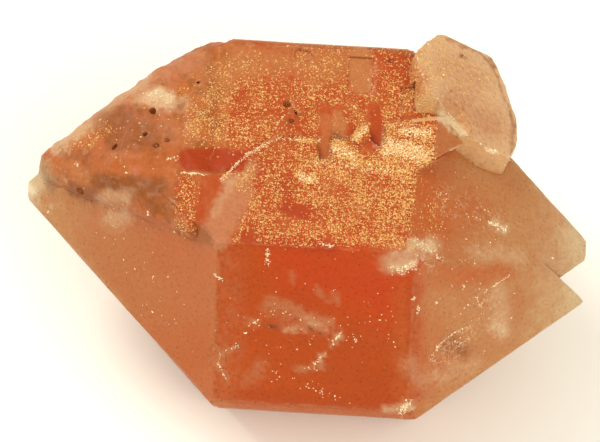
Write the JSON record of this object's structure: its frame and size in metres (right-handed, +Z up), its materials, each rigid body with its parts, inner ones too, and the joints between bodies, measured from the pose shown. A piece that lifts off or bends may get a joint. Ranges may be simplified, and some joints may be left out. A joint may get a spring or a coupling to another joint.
{
  "type": "strawberry quartz crystal",
  "caption": "Stubby red-orange quartz crystal pointed at both ends, lying on a prism face, with a notch in one point, a smaller crystal on one shoulder and rough growth on the other",
  "frame": {"origin": "middle of the bounding box at the height of the face that it rests on", "axes": "+X along the crystal's long growth axis towards the notched point, +Z up, -Y towards the viewer of the picture"},
  "size_m": [0.048, 0.0354, 0.0275],
  "materials": {
    "strawberry_quartz": "natural glassy crystal faces, cloudy, with red and gold specks and rough frosted patches"
  },
  "bodies": {
    "root": {"quartz_crystal": "strawberry_quartz"}
  },
  "joints": []
}
